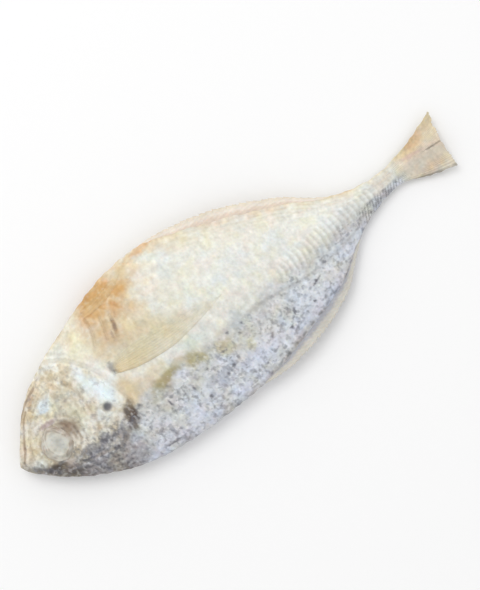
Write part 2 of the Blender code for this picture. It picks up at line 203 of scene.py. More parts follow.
def bump(value, width):
    return np.exp(-((value / width) ** 2))


def oval(x, y, centre_x, centre_y, half_length, half_height):
    """1 in the middle of a soft oval, and 0 far from it."""
    return np.exp(-(((x - centre_x) / half_length) ** 2) - ((y - centre_y) / half_height) ** 2)


def through(points, place):
    """The points at place, counted in steps between points, on a smooth curve through all of them."""
    points = np.array(points, float)
    step = np.clip(np.floor(place).astype(int), 0, len(points) - 2)
    part = (place - step)[..., None]
    a, b = points[np.maximum(step - 1, 0)], points[step]
    c, d = points[step + 1], points[np.minimum(step + 2, len(points) - 1)]
    return b + 0.5 * part * (c - a + part * (2 * a - 5 * b + 4 * c - d + part * (3 * b - a - 3 * c + d)))


def grain(x, y, size, seed, stretch=1.0):
    """Gradient noise from about -1 to 1, with spots of that size. stretch draws them out along y."""
    angles = np.random.default_rng(seed).uniform(0, 2 * math.pi, (256, 256))
    u, v = x / size + seed * 7.3, y / (size * stretch) + seed * 3.1
    i, j = np.floor(u).astype(int), np.floor(v).astype(int)
    f, g = u - i, v - j

    def corner(a, b):
        angle = angles[(i + a) % 256, (j + b) % 256]
        return np.cos(angle) * (f - a) + np.sin(angle) * (g - b)

    along, across = ramp(f), ramp(g)
    low = corner(0, 0) * (1 - along) + corner(1, 0) * along
    high = corner(0, 1) * (1 - along) + corner(1, 1) * along
    return 1.6 * (low * (1 - across) + high * across)


def noises(x, y, parts, seed):
    """A sum of noises, each given as its size, weight and seed."""
    return sum(weight * grain(x, y, size, seed + offset) for size, weight, offset in parts)


def ragged(place, parts):
    """How far an edge is worn back at each place along it, from noises as above."""
    return sum(weight * np.abs(grain(place, place * 0, size, seed)) for size, weight, seed in parts)


def worms(x, y, size, seed, stretch=1.0):
    """1 on a net of thin wavy lines of that spacing, and 0 between them."""
    bent = grain(x, y, size, seed, stretch) + 0.35 * grain(x, y, size / 2.3, seed + 1, stretch)
    return bump(bent, 0.16)


def near_line(points, x, y):
    """Each place's distance from a curve, positive on the curve's left, and how far along it is nearest."""
    samples = 48
    curve = through(points, np.linspace(0, len(points) - 1, samples))
    best, signed, along = np.full(x.shape, 1e9), np.zeros(x.shape), np.zeros(x.shape)
    for i in range(samples - 1):
        ax, ay = curve[i]
        dx, dy = curve[i + 1] - curve[i]
        part = np.clip(((x - ax) * dx + (y - ay) * dy) / (dx * dx + dy * dy), 0, 1)
        away = np.hypot(x - ax - part * dx, y - ay - part * dy)
        side = np.sign((y - ay) * dx - (x - ax) * dy)
        closer = away < best
        best = np.where(closer, away, best)
        signed = np.where(closer, away * side, signed)
        along = np.where(closer, (i + part) / (samples - 1), along)
    return signed, along


def ends(along, share=0.15):
    """Fades out over that share of a curve at each of its ends."""
    return ramp(np.minimum(along, 1 - along) / share)


# ---------- the fish's form

RIB_PLACES = np.linspace(0, TAIL_RIB, 4001)
RIB_STATIONS = through(RIBS, RIB_PLACES)[:, 0]


def rib_place(x):
    return np.interp(-x, -RIB_STATIONS, RIB_PLACES)


def edges_at(x):
    """The height of the back's edge and of the belly's edge."""
    stations = through(RIBS, rib_place(x))
    return stations[..., 1], stations[..., 2]


def lateral_line(x):
    return LINE_HEIGHT + LINE_SLOPE * x


def round_eye(x, y):
    """The distance from the middle of the eye, and the direction from it."""
    return np.hypot(x - EYE[0], (y - EYE[1]) * 1.03), np.arctan2(y - EYE[1], x - EYE[0])


def scute_profile(x, y):
    """The keeled scutes: how far up its scute a place is, and a window round the row, both from 0 to 1."""
    along = (SCUTE_SPAN[0] - x) / (SCUTE_SPAN[0] - SCUTE_SPAN[1])
    inside = ramp(along * 6) * ramp((1 - along) * 6)
    half_height = SCUTE_HEIGHT * (0.35 + 0.65 * np.sin(math.pi * np.clip(along, 0, 1)) ** 0.7)
    across = (y - lateral_line(x)) / half_height
    window = ramp((1.15 - np.abs(across)) * 2.2) * inside
    slope = (along * SCUTES + 0.3 * across**2 + 0.1 * grain(x, y, 1.2, 3)) % 1.0
    return slope**1.3 * np.clip((1 - slope) * 5, 0, 1) * 1.25, window


def broad_relief(x, y):
    """The relief that the solid has too."""
    lumps = [noise.noise(Vector((a, b, LUMP_SEED)) / LUMP_SIZE) for a, b in zip(x.ravel(), y.ravel())]
    rise = LUMP_RISE * np.array(lumps).reshape(x.shape)
    for *place, height in FLANK_RELIEF:
        rise += height * oval(x, y, *place)
    from_eye = np.hypot(x - EYE[0], y - EYE[1])
    return rise - SOCKET_SINK * ramp((SOCKET_EDGE - from_eye) / (SOCKET_EDGE - SOCKET_FLOOR))


def line_relief(x, y):
    """Creases, ridges and grooves that follow a curve."""
    rise = 0.0
    for curve, fade, profile in LINE_PROFILES:
        away, along = near_line(curve, x, y)
        folds = sum(height * bump(away - offset, width) for offset, width, height in profile)
        rise += ends(along, fade) * folds
    return rise


def head_relief(x, y):
    """Rings round the eye, the edges of the bony plates, folds of the throat, pits and flaking skin."""
    from_eye, angle = round_eye(x, y)
    bend = RING_BEND * grain(x, y, *RING_BEND_NOISE)
    gaps = np.clip(0.9 + 0.9 * grain(x, y, *RING_GAP_NOISE), 0.1, 1.6)
    rise = 0.0
    for radius, width, height in EYE_RINGS:
        away = from_eye - radius - 0.12 * np.sin(3 * angle + radius) - bend
        rise += height * gaps * (bump(away, width) - 0.5 * bump(away + 2 * width, width))
    for edge, height, slope, reach, groove, behind, width in PLATES:
        front, along = near_line(edge, x, y)
        step = height * ramp(0.5 + front / slope) * np.exp(-np.maximum(front, 0) / reach)
        rise += ends(along) * (step - groove * bump(front + behind, width))
    for (centre_x, centre_y), depth, width in PITS:
        rise -= depth * bump(np.hypot(x - centre_x, y - centre_y), width)
    flaking = 0.065 * noises(x, y, FLAKES, 0) + 0.045 * worms(x, y, *FLAKE_EDGES)
    return rise + throat_folds(x, y) + ramp((x - HEAD_SKIN_START) / 4) * flaking


def throat_folds(x, y):
    """Fine folds of the throat, which run beside the lower edge of the gill cover."""
    front, _ = near_line(GILL_EDGE, x, y)
    beside = ramp((-front - 0.2) * 2) * ramp((THROAT_WIDTH + front) * 0.7)
    low = ramp((-3.0 - y) / 3) * ramp((x - 29) / 3)
    return THROAT_FOLD_RISE * beside * low * np.cos(2 * math.pi * front / THROAT_FOLD_STEP)


def flank_relief(x, y, seed):
    """Scutes, rows of muscle, and the wrinkled skin of the edges."""
    slope, window = scute_profile(x, y)
    keel = bump(y - lateral_line(x), 0.35)
    rise = window * (SCUTE_RISE * slope * (0.75 + 0.45 * keel) + KEEL_RISE * keel)
    back, belly = edges_at(x)
    muscles = (x + 0.5 * np.abs(y - lateral_line(x)) + 0.5 * grain(x, y, 5.0, seed)) / MUSCLE_STEP
    rise += MUSCLE_RISE * np.cos(2 * math.pi * muscles) * (1 - window)
    by_belly = ramp((5.5 - (y - belly)) / 3)
    by_back = ramp((3.0 - (back - y)) / 3)
    rise += 0.06 * by_belly * grain(x, (y - belly) * 7, 3.4, seed + 1)
    rise += 0.045 * by_back * grain(x, (back - y) * 6, 3.0, seed + 2)
    return rise


def fine_relief(x, y, flank):
    """Bones of the head, scutes, creases and wrinkles, in percent."""
    seed = SKIN_SEED + flank
    rise = head_relief(x, y) + line_relief(x, y) + flank_relief(x, y, seed + 10)
    for i, (size, height, stretch) in enumerate(WRINKLES):
        rise += height * grain(x, y, size, seed + i, stretch)
    return rise + 0.014 * worms(x, y, 0.85, seed + len(WRINKLES), 1.4)


def tail_rays(across, finward):
    """The tail fin's rays, from -1 to 1, which branch halfway, and how much of the fin's skin is thin."""
    fan = across * (1 + 0.15 * np.sin(4 * across))
    rays = np.cos(2 * math.pi * TAIL_RAYS * fan)
    branches = np.cos(4 * math.pi * TAIL_RAYS * fan)
    forked = ramp((finward - 0.45) * 2.5)
    return rays * (1 - forked) + branches * forked, ramp(finward * 3)


def skin(place, angle, flank):
    """Points of a flank in percent. place counts the ribs. angle is 0 at the back and pi at the belly."""
    x, back, belly, half_thickness, middle = np.moveaxis(through(RIBS, place), -1, 0)
    finward = ramp((place - STALK_RIB) / (TAIL_RIB - STALK_RIB))
    across, out = np.cos(angle), np.sin(angle)
    y = (back + belly) / 2 + (back - belly) / 2 * across
    worn = EDGE_WEAR * np.abs(across) ** 8 * (1 + grain(x, y * 0, 1.1, 7)) * ramp((50 - x) / 3)
    y = y - np.sign(across) * worn
    notches = ragged(y, TAIL_NOTCHES)
    x = x + finward**3 * (TAIL_SLANT * across + FORK_DEPTH * (1 - np.abs(across)) ** 2)
    x = x + finward**8 * notches
    sharpness = EDGE_SHARPNESS + (FIN_SHARPNESS - EDGE_SHARPNESS) * finward
    bulge = SKIN_SHARE * half_thickness * (1 - FIN_THINNING * finward)
    bulge *= out**sharpness * (1 + BACK_FULLNESS * across)
    bulge += broad_relief(x, y) * out**2 * ramp(half_thickness / RELIEF_THICKNESS)
    bulge += fine_relief(x, y, flank) * ramp(out * 2.5) * (1 - finward)
    rays, membrane = tail_rays(across, finward)
    bulge += (TAIL_RAY_RISE * rays + 0.03 * grain(x, y, 1.5, 8)) * membrane * ramp(out * 3)
    bulge *= np.sqrt(np.clip(np.minimum(place, TAIL_RIB - place) / END_TAPER, 0, 1))
    if flank == LEFT:
        bulge = -LOWER_FLANK * bulge
    wave = TAIL_WAVE * finward**2 * np.sin(y * 0.9 + 1.0)
    return np.stack((x, y, np.clip(middle + bulge + wave, LOWEST, TOP)), -1)


def skin_height(x, y, flank):
    """The height of a flank over a place, in percent."""
    back, belly = edges_at(x)
    angle = np.arccos(np.clip((2 * y - back - belly) / np.maximum(back - belly, THINNEST), -1, 1))
    return skin(rib_place(x), angle, flank)[..., 2]


# ---------- colours painted on the skin


def srgb(red, green, blue):
    """A given colour, in linear light."""
    return ((np.array((red, green, blue)) / 255 + 0.055) / 1.055) ** 2.4


# Colour across the body, from the belly's edge (-1) over the lateral line (0) to the back's edge (1)
FLANK_STOPS = (
    (-1.0, (229, 217, 192)), (-0.9, (231, 227, 210)), (-0.7, (230, 229, 219)), (-0.4, (230, 231, 224)),
    (-0.12, (228, 228, 220)), (0.05, (217, 217, 209)), (0.18, (197, 198, 194)), (0.4, (205, 209, 213)),
    (0.7, (208, 213, 222)), (0.9, (206, 210, 221)), (1.0, (182, 182, 187)),
)
HEAD_STOPS = (
    (-1.0, (216, 203, 176)), (-0.6, (218, 211, 190)), (-0.2, (212, 207, 190)), (0.15, (214, 209, 194)),
    (0.38, (190, 186, 180)), (0.6, (156, 152, 152)), (0.85, (144, 140, 142)), (1.0, (116, 108, 104)),
)
TAIL_STOPS = (
    (-1.0, (222, 208, 172)), (-0.6, (230, 212, 180)), (-0.1, (220, 206, 188)), (0.2, (212, 203, 186)),
    (0.6, (216, 207, 188)), (0.88, (207, 200, 184)), (1.0, (148, 142, 130)),
)
# Stains of both flanks, and patches of painted shade: place, height, half length, half height, tilt in
# degrees, colour, strength
BODY_STAINS_AND_SHADE = (
    (17.0, -3.0, 9.5, 4.0, -4, (208, 196, 162), 0.85),  # warm skin round the pectoral fin
    (17.5, -8.6, 5.0, 3.4, 0, (215, 201, 170), 0.8),
    (19.2, -13.6, 6.6, 4.2, 8, (214, 176, 122), 1.0),  # oil at the belly
    (20.4, -14.6, 3.4, 2.0, 0, (204, 158, 96), 0.75),
    (15.6, -12.9, 1.7, 1.1, 20, (202, 154, 90), 0.6),
    (18.2, -11.2, 1.5, 0.9, -30, (206, 160, 98), 0.6),
    (23.7, -11.6, 1.2, 1.5, 10, (204, 160, 102), 0.6),
    (22.4, -15.2, 1.8, 0.9, 10, (200, 150, 86), 0.6),
    (20.4, -12.4, 1.0, 0.7, 0, (228, 206, 168), 0.5),
    (22.6, -7.6, 4.0, 4.0, 10, (202, 178, 142), 0.85),
    (24.8, 2.5, 2.6, 3.2, 0, (210, 192, 158), 0.9),
    (22.5, 8.8, 3.0, 2.6, 0, (188, 188, 182), 0.6),
    (25.6, -7.0, 1.6, 3.0, 12, (208, 186, 152), 0.55),
    (28.6, -9.4, 3.4, 3.2, 0, (227, 223, 198), 0.8),  # throat
    (27.3, 6.6, 1.35, 2.3, -24, (82, 66, 56), 1.0),  # dark blotch over the gill cover
    (28.4, 8.7, 1.1, 0.8, 30, (112, 102, 96), 0.9),
    (26.3, 4.6, 0.5, 0.6, 0, (112, 92, 70), 0.8),
    (25.4, 6.3, 0.5, 0.5, 0, (84, 84, 92), 0.8),
    (34.3, 7.8, 4.8, 1.3, -4, (136, 135, 139), 0.9),  # dark band behind the eye
    (31.0, 9.6, 2.4, 0.8, 30, (120, 112, 106), 0.7),
    (31.0, 12.8, 4.0, 2.0, -14, (150, 146, 146), 0.55),
    (43.4, 7.9, 4.4, 1.6, -38, (78, 69, 62), 1.0),  # dark top of the snout: its own dark skin, with a painted shadow over it
    (47.6, 4.9, 1.8, 0.7, -48, (104, 96, 90), 0.85),
    (38.0, 2.2, 1.7, 2.8, 8, (154, 136, 116), 0.95),  # brown shadow behind the eye
    (49.0, 3.0, 1.2, 1.6, 0, (168, 158, 146), 0.75),  # snout
    (25.0, -2.3, 0.9, 1.2, 0, (150, 148, 142), 0.9),  # root of the pectoral fin
    (24.6, -1.2, 0.9, 0.35, -30, (84, 76, 72), 0.75),
    (-31.5, 2.9, 6.0, 0.7, 5, (160, 160, 162), 0.7),  # top of the stalk
    (-35.2, 0.2, 3.6, 1.1, 0, (211, 206, 194), 0.7),
    (-18.4, 8.3, 3.4, 1.7, 24, (212, 219, 230), 0.7),  # pale rear of the back
    (-10.5, 8.8, 4.6, 2.6, 14, (213, 218, 224), 0.5),
    (-27.5, 1.7, 5.0, 2.4, 4, (203, 206, 203), 0.7),
)
# Stains of the right flank only, and painted shade in its folds
RIGHT_STAINS_AND_SHADE = (
    (6.0, -16.4, 9.0, 1.3, 8, (230, 214, 182), 0.55),  # warm edge of the belly
    (8.0, -16.8, 4.4, 0.8, 8, (222, 180, 130), 0.85),
    (7.0, -13.8, 6.0, 0.8, -32, (220, 227, 223), 0.6),  # bluish streak beside it
    (6.0, -1.2, 4.0, 1.3, -4, (218, 210, 188), 0.6),  # tip of the pectoral fin
    (-10.0, -10.8, 10.0, 1.0, -24, (229, 216, 201), 0.6),
    (-10.0, 4.2, 6.0, 1.6, -4, (208, 212, 214), 0.7),
    (3.2, 5.6, 3.0, 1.5, -12, (190, 192, 190), 0.6),
    (2.0, 9.7, 1.4, 1.3, 0, (196, 192, 166), 0.8),  # olive patches over the lateral line
    (6.2, 7.3, 2.6, 1.5, -22, (192, 187, 158), 0.85),
    (11.7, 5.7, 2.3, 1.4, -16, (176, 169, 131), 0.9),
    (18.2, 5.1, 3.3, 1.8, 6, (158, 146, 108), 0.95),
    (14.6, 4.2, 2.4, 0.8, -4, (190, 184, 156), 0.75),
    (20.6, 3.2, 3.0, 1.4, 0, (208, 196, 168), 0.7),
    (15.7, 6.6, 1.6, 1.5, 0, (214, 216, 224), 0.9),  # clean patches
    (10.8, 2.8, 4.0, 1.2, -4, (212, 220, 214), 0.8),
    (8.5, -7.0, 6.0, 4.5, 0, (222, 222, 209), 0.6),
    (8.6, 11.4, 4.0, 1.8, 0, (178, 182, 192), 0.55),
    (30.6, -5.6, 1.2, 2.2, 24, (220, 221, 220), 0.6),  # pale skin under the silvery highlight
    (20.1, -8.3, 0.34, 1.4, -15, (150, 126, 108), 0.8),  # painted shade in the folds over the oiled belly
    (21.4, -6.9, 0.26, 1.0, -12, (162, 138, 118), 0.75),
    (18.9, -9.8, 0.22, 0.8, -28, (172, 146, 120), 0.7),
    (35.4, -3.5, 0.45, 0.4, 0, (150, 148, 136), 0.7),
    (33.1, 0.9, 0.7, 3.6, 4, (207, 198, 183), 0.85),  # rear edge of the cheek
    (36.8, 4.8, 2.2, 1.8, 0, (227, 222, 208), 0.85),
    (39.4, -4.1, 1.7, 1.2, 0, (212, 221, 224), 0.9),  # cheek
    (35.8, -1.8, 1.7, 2.8, 0, (198, 195, 176), 0.85),
    (41.0, -6.3, 1.7, 0.55, 38, (184, 160, 132), 0.9),  # corner of the mouth
    (37.8, -6.9, 1.9, 1.2, 20, (222, 214, 192), 0.75),
    (40.6, -1.0, 1.9, 0.55, 0, (184, 168, 170), 0.85),  # under the eye
    (47.6, 1.8, 1.0, 1.8, 20, (218, 208, 193), 0.6),
    (44.4, -2.2, 1.7, 1.9, 30, (219, 214, 206), 0.75),
    (-47.0, 0.6, 2.2, 0.18, -5, (118, 106, 90), 0.75),  # painted shade in a fold of the tail fin
    (-42.6, -0.4, 2.4, 0.4, -8, (212, 186, 176), 0.7),
    (-44.6, -2.4, 2.6, 1.2, 14, (224, 194, 162), 0.7),
    (-45.0, 3.6, 2.4, 1.2, 0, (212, 192, 164), 0.5),
)
LEFT_STAINS = (
    (10.0, -12.0, 8.0, 3.0, 8, (226, 204, 166), 0.8),
    (-4.0, -8.0, 6.0, 2.0, -20, (224, 216, 196), 0.6),
    (16.0, 6.0, 5.0, 1.8, -6, (192, 184, 156), 0.7),
    (30.0, -1.0, 1.8, 4.0, 12, (216, 222, 224), 0.7),
    (39.4, -4.1, 2.4, 1.6, 0, (206, 208, 200), 0.7),
)
# Short dark marks where the skin of the back has cracked: place, height, half length, half height, tilt
CRACKS = (
    (-7.8, 9.7, 0.26, 0.9, -19), (-1.9, 10.7, 0.36, 0.7, -25), (-5.6, 11.7, 0.35, 0.25, 0),
    (-14.5, 7.6, 1.3, 0.2, 20), (-14.4, 7.5, 0.35, 0.35, 0), (8.7, 11.6, 0.35, 0.35, 0),
    (6.9, 10.8, 0.4, 0.3, 0), (15.3, 9.9, 0.35, 0.5, 0), (13.6, 12.9, 0.32, 0.32, 0),
    (11.1, 8.5, 0.42, 0.28, 0), (20.4, 9.4, 0.22, 0.8, 8), (-12.0, 10.4, 0.3, 0.3, 0),
    (2.6, 6.8, 0.35, 0.3, 20), (4.4, 5.3, 0.35, 0.25, 0), (1.2, 5.4, 0.25, 0.3, 0),
    (24.2, 15.6, 2.2, 0.3, -6), (33.1, 10.0, 0.7, 0.45, 10), (38.4, 8.6, 1.6, 0.22, -14),
    (43.8, 7.7, 0.8, 0.4, -10),
)
CRACK_COLOUR, SPECK_COLOUR, SALT_COLOUR = srgb(92, 92, 102), srgb(98, 101, 112), srgb(238, 240, 240)
# Painted shade along the jaws, in the pit of the gill cover, and in the groove over the scutes
JAW_SHADOW, PIT_SHADE, ROOF_SHADE = srgb(158, 134, 116), srgb(70, 75, 88), srgb(150, 150, 150)
# The bright painted highlight on the silvery gill cover, and the colour of streaks by the belly
SILVER_HIGHLIGHT, STREAK_COLOUR = srgb(232, 246, 255), srgb(218, 197, 166)
# How strongly a shadow takes away red, green and blue
RING_TINT, HOLLOW_SHADE = np.array((0.85, 1.0, 1.1)), np.array((0.85, 1.0, 1.15))
LEAF_EDGE_SHADE = np.array((0.8, 1.0, 1.2))
RING_SHADES = ((5.3, 0.35, 0.08), (4.35, 0.3, 0.18), (3.55, 0.25, 0.24))  # radius, width, how much darker
FOOT_DOT_STEP, STROKE_STEP = 2.3, 0.62

# Soft ovals: place, height, half length, half height
DARK_BAND, DARK_BLOTCH = (34.3, 7.8, 4.6, 1.7), (27.2, 7.0, 1.9, 2.8)
OILED_BELLY, OILY_SKIN = (19.4, -13.4, 5.4, 3.6), (20.0, -12.0, 8.0, 6.0)

# Noises: size, weight, seed
LEVEL_NOISE = ((4.0, 0.1, 0), (1.4, 0.06, 1))
SPECK_NOISE = ((0.85, 1.0, 3), (0.42, 0.6, 4))
SALT_NOISE = ((0.7, 1.0, 5), (0.35, 0.5, 6))
MOTTLE_NOISE = ((2.2, 0.05, 13), (0.9, 0.07, 9), (0.45, 0.07, 10))
CLOUD_NOISE = ((2.6, 1.0, 11), (1.1, 0.6, 12))
GRIT_NOISE = ((0.75, 1.0, 14), (0.4, 0.7, 15))
OIL_NOISE = ((1.3, 1.0, 18), (0.6, 0.7, 19))
# Tones where a noise is high and where it is low: colour, strength, start, softness
CLOUD_TONES = (((226, 229, 226), 0.55, 0.1, 0.5), ((192, 172, 134), 0.5, 0.12, 0.5))
GRIT_TONES = (((74, 74, 80), 0.6, 0.1, 0.5), ((200, 200, 202), 0.3, 0.15, 0.5))
OIL_TONES = (((192, 134, 56), 0.6, 0.1, 0.6), ((234, 218, 182), 0.5, 0.1, 0.6))
# Clouds of hue: size, change of red, green and blue
HUE_CLOUDS = ((3.4, (0.01, 0.0, -0.09)), (2.8, (0.02, -0.03, -0.03)), (3.8, (-0.05, -0.01, 0.04)))


def stops_colour(stops, value):
    """Colours between stops, each of them a place and a colour."""
    places = [place for place, _ in stops]
    colours = np.array([srgb(*colour) for _, colour in stops])
    return np.stack([np.interp(value, places, colours[:, i]) for i in range(3)], -1)


def stain_weight(x, y, centre_x, centre_y, half_length, half_height, tilt, seed):
    """1 in the middle of a patch with a ragged edge, and 0 outside it."""
    turn = math.radians(tilt)
    size = min(half_length, half_height)
    dx = x - centre_x + 0.45 * size * grain(x, y, 1.7 * size, seed + 2)
    dy = y - centre_y + 0.45 * size * grain(x, y, 1.5 * size, seed + 5)
    u = (dx * math.cos(turn) + dy * math.sin(turn)) / half_length
    v = (dy * math.cos(turn) - dx * math.sin(turn)) / half_height
    torn = 0.4 * grain(x, y, 0.9 * size, seed) + 0.35 * grain(x, y, 0.4 * size, seed + 1)
    return ramp(1.35 * np.exp(-(u * u + v * v) * (1 + torn)) - 0.12)


def blend(colour, overlay, weight):
    """colour where weight is 0, and the second colour where it is 1."""
    return colour + weight[..., None] * (overlay - colour)


def two_tone(colour, value, mask, tones):
    """Where mask is over 0: one tone where value is high, and the other where it is low."""
    for sign, (tone, strength, start, softness) in zip((1, -1), tones):
        colour = blend(colour, srgb(*tone), strength * mask * ramp((sign * value - start) / softness))
    return colour


def hollows(rise):
    """How far each place of a grid lies under those around it, from -1 (a ridge) to 1 (a groove)."""
    soft = rise
    for axis in (0, 1):
        for _ in range(2):
            soft = (np.roll(soft, 3, axis) + soft + np.roll(soft, -3, axis)) / 3
    return np.clip((soft - rise) / 0.06, -1, 1)


class Ground:
    """What the colour depends on at each place of a flank. level runs from the belly's edge (-1) over the
    lateral line (0) to the back's edge (1). head, tail, on_back, band, specks and the silvery highlight
    painted on the gill cover are weights.
    """

    def __init__(self, points, flank):
        x, y = points[..., 0], points[..., 1]
        self.x, self.y = x, y
        self.flank, self.seed = flank, PAINT_SEED + flank
        self.back, self.belly = edges_at(x)
        self.line = lateral_line(x)
        reach = np.where(y > self.line, self.back - self.line, self.line - self.belly)
        self.level = (y - self.line) / reach + self.noise(LEVEL_NOISE)

        edge, _ = near_line(HEAD_EDGE, x, y)
        self.head = ramp(0.5 + edge / (0.9 + 7.0 * ramp((y - 8) / 4)))
        self.tail = ramp((TAIL_FIN_START - x + 0.5 * grain(x, y, 1.5, self.seed)) / 3.5)
        self.on_back = ramp((self.level + 0.02) / 0.34) * (1 - self.tail) * (1 - 0.6 * self.head)
        crest, along = near_line(CREST, x, y)
        self.band = np.clip(oval(x, y, *DARK_BAND) + 0.8 * bump(crest, 0.6) * ends(along, 0.1), 0, 1)
        patches = 0.5 + 0.9 * grain(x, y, 4.5, self.seed + 2)
        specks = self.on_back * (0.5 + 0.45 * patches) + 1.1 * self.band + 0.45 * self.head
        self.specks = np.clip(specks, 0, 1.15)

        # Where the silvery gill cover gets its bright painted highlight
        trail, self.highlight_along = near_line(SILVER_HIGHLIGHT_TRAIL, x, y)
        trail = trail + 0.5 * grain(x, y, 2.6, self.seed + 19)
        self.silver_highlight = bump(trail, 1.8 - 0.8 * self.highlight_along)

    def noise(self, parts):
        return noises(self.x, self.y, parts, self.seed)


def base_colour(at):
    """The colour across the body, with cloudy skin on the thin lower part of the head."""
    colour = stops_colour(FLANK_STOPS, at.level)
    colour = blend(colour, stops_colour(HEAD_STOPS, at.level), at.head)
    colour = blend(colour, stops_colour(TAIL_STOPS, at.level), at.tail)
    thin = at.head * ramp((0.45 - at.level) / 0.2)
    return two_tone(colour, at.noise(CLOUD_NOISE), thin, CLOUD_TONES)


def stained(colour, at):
    """Adds the jaws' shadows, the stains and patches of painted shade, the bright painted highlight on the
    silvery gill cover, and the cracks.
    """
    x, y, seed = at.x, at.y, at.seed
    for jaw in (UPPER_JAW, LOWER_JAW):
        lip, along = near_line(jaw, x, y)
        colour = blend(colour, JAW_SHADOW, 0.55 * bump(lip - 0.55, 0.36) * ends(along, 0.1))
    stains_and_shade = BODY_STAINS_AND_SHADE + (RIGHT_STAINS_AND_SHADE if at.flank == RIGHT else LEFT_STAINS)
    for i, (*place, overlay, strength) in enumerate(stains_and_shade):
        colour = blend(colour, srgb(*overlay), strength * stain_weight(x, y, *place, seed + 3 * i))
    # The silvery gill cover, painted with a bright highlight that trails down from its pit
    colour = blend(colour, SILVER_HIGHLIGHT, (0.98 - 0.4 * at.highlight_along) * at.silver_highlight)
    for i, place in enumerate(CRACKS):
        shift = 0.0 if at.flank == RIGHT else 1.3 * math.sin(9.0 * i)
        weight = stain_weight(x - shift, y, *place, seed + CRACK_SEED + 3 * i)
        colour = blend(colour, CRACK_COLOUR, 0.8 * weight)
    return colour


def speckled(colour, at):
    """Adds specks of dark skin, grit, drops of oil, and dried salt between them."""
    x, y = at.x, at.y
    dots = ramp((at.noise(SPECK_NOISE) + 0.5 * at.specks - 0.46) / 0.6)
    colour = blend(colour, SPECK_COLOUR, 0.46 * dots * at.specks**0.5 * (1 - at.silver_highlight))
    top_of_head = at.head * ramp((at.level - 0.45) / 0.2)
    dark_top = np.clip(at.band + 0.9 * oval(x, y, *DARK_BLOTCH) + top_of_head, 0, 1)
    colour = two_tone(colour, at.noise(GRIT_NOISE), dark_top, GRIT_TONES)
    colour = two_tone(colour, at.noise(OIL_NOISE), oval(x, y, *OILED_BELLY), OIL_TONES)
    salt = ramp((at.noise(SALT_NOISE) - 0.3) / 0.3)
    return blend(colour, SALT_COLOUR, 0.35 * salt * (0.3 + 0.7 * at.on_back))


def marked(colour, at):
    """Adds dots along the dorsal fin, strokes on the stalk, streaks by the belly, and painted shade and
    light on the scutes and in the groove over them.
    """
    x, y, seed = at.x, at.y, at.seed
    foot = bump(at.back - y - 0.75, 0.3) * ramp((x + 19) / 3) * ramp((6 - x) / 6)
    dots = ramp(np.cos(2 * math.pi * x / FOOT_DOT_STEP) + 0.4)
    colour *= 1 - 0.45 * (foot * dots)[..., None]

    strokes = np.sin(2 * math.pi * (x - 0.5 * y) / STROKE_STEP) + 0.8 * grain(x, y, 1.0, seed + 7)
    upper = ramp((y - at.line - 0.2) / 0.6)
    stalk = ramp((-26.5 - x) / 3) * ramp((x + 40) / 3) * upper
    colour *= 1 - 0.42 * (ramp(strokes) * stalk)[..., None]

    over_belly = y - at.belly
    by_belly = ramp((4.5 - over_belly) / 3.5) * ramp((20 - x) / 8) * (1 - at.tail)
    streaks = ramp(grain(x, over_belly * 6, 3.0, seed + 8) * 1.6)
    colour = blend(colour, STREAK_COLOUR, 0.3 * streaks * by_belly)

    # Painted shade at the foot of each scute, and painted light up its slope
    slope, window = scute_profile(x, y)
    colour *= 1 + (window * (0.05 * slope - 0.08 * (1 - slope)))[..., None]
    # Painted shade in the groove over the scutes
    roof, along = near_line(SCUTE_ROOF, x, y)
    return blend(colour, ROOF_SHADE, 0.25 * bump(roof, 0.4) * ends(along))


def shaded(colour, at):
    """Darkens the rings round the eye and the tail fin between its rays, paints shade in hollows and light
    on ridges, and mottles the skin.
    """
    x, y, seed = at.x, at.y, at.seed
    from_eye, angle = round_eye(x, y)
    behind_eye = 0.6 + 0.4 * np.cos(angle - 2.6)
    bend = RING_BEND * grain(x, y, *RING_BEND_NOISE) - 0.15 * grain(x, y, 0.8, seed + 17)
    gaps = np.clip(0.8 + 0.9 * grain(x, y, *RING_GAP_NOISE), 0.1, 1.4)
    for radius, width, darker in RING_SHADES:
        ring = bump(from_eye - radius - bend, width) * gaps
        colour *= 1 - (1.3 * darker * behind_eye * ring)[..., None] * RING_TINT

    across = (2 * y - at.back - at.belly) / np.maximum(at.back - at.belly, THINNEST)
    rays, membrane = tail_rays(across, at.tail)
    colour *= 1 + (0.06 * rays * membrane)[..., None]
    # Painted shade in the hollows of the fine relief, and painted light on its ridges
    relief = hollows(fine_relief(x, y, at.flank)) * (1 - 0.6 * at.tail) * (1 - 0.6 * at.silver_highlight)
    colour *= 1 - ((0.1 + 0.09 * at.head) * relief)[..., None] * HOLLOW_SHADE
    contrast = (1 + 0.6 * at.on_back + 0.4 * at.head) * (1 - 0.7 * at.silver_highlight)
    return colour * (1 + (at.noise(MOTTLE_NOISE) * contrast)[..., None])


def tinted(colour, at):
    """Adds painted shade in the pit of the gill cover, and soft clouds of hue."""
    x, y, seed = at.x, at.y, at.seed
    pit_x, pit_y = PITS[-1][0]
    from_pit = np.hypot(x - pit_x, y - pit_y) + 0.15 * grain(x, y, 0.8, seed + 16)
    colour = blend(colour, PIT_SHADE, 0.86 * ramp((1.25 - from_pit) / 0.85))
    for i, (size, shift) in enumerate(HUE_CLOUDS):
        cloud = noises(x, y, ((size, 1.0, HUE_SEED + i), (size / 2.6, 0.6, HUE_SEED + 10 + i)), seed)
        colour *= 1 + ramp((cloud + 0.1) / 0.9)[..., None] * np.array(shift)
    return colour


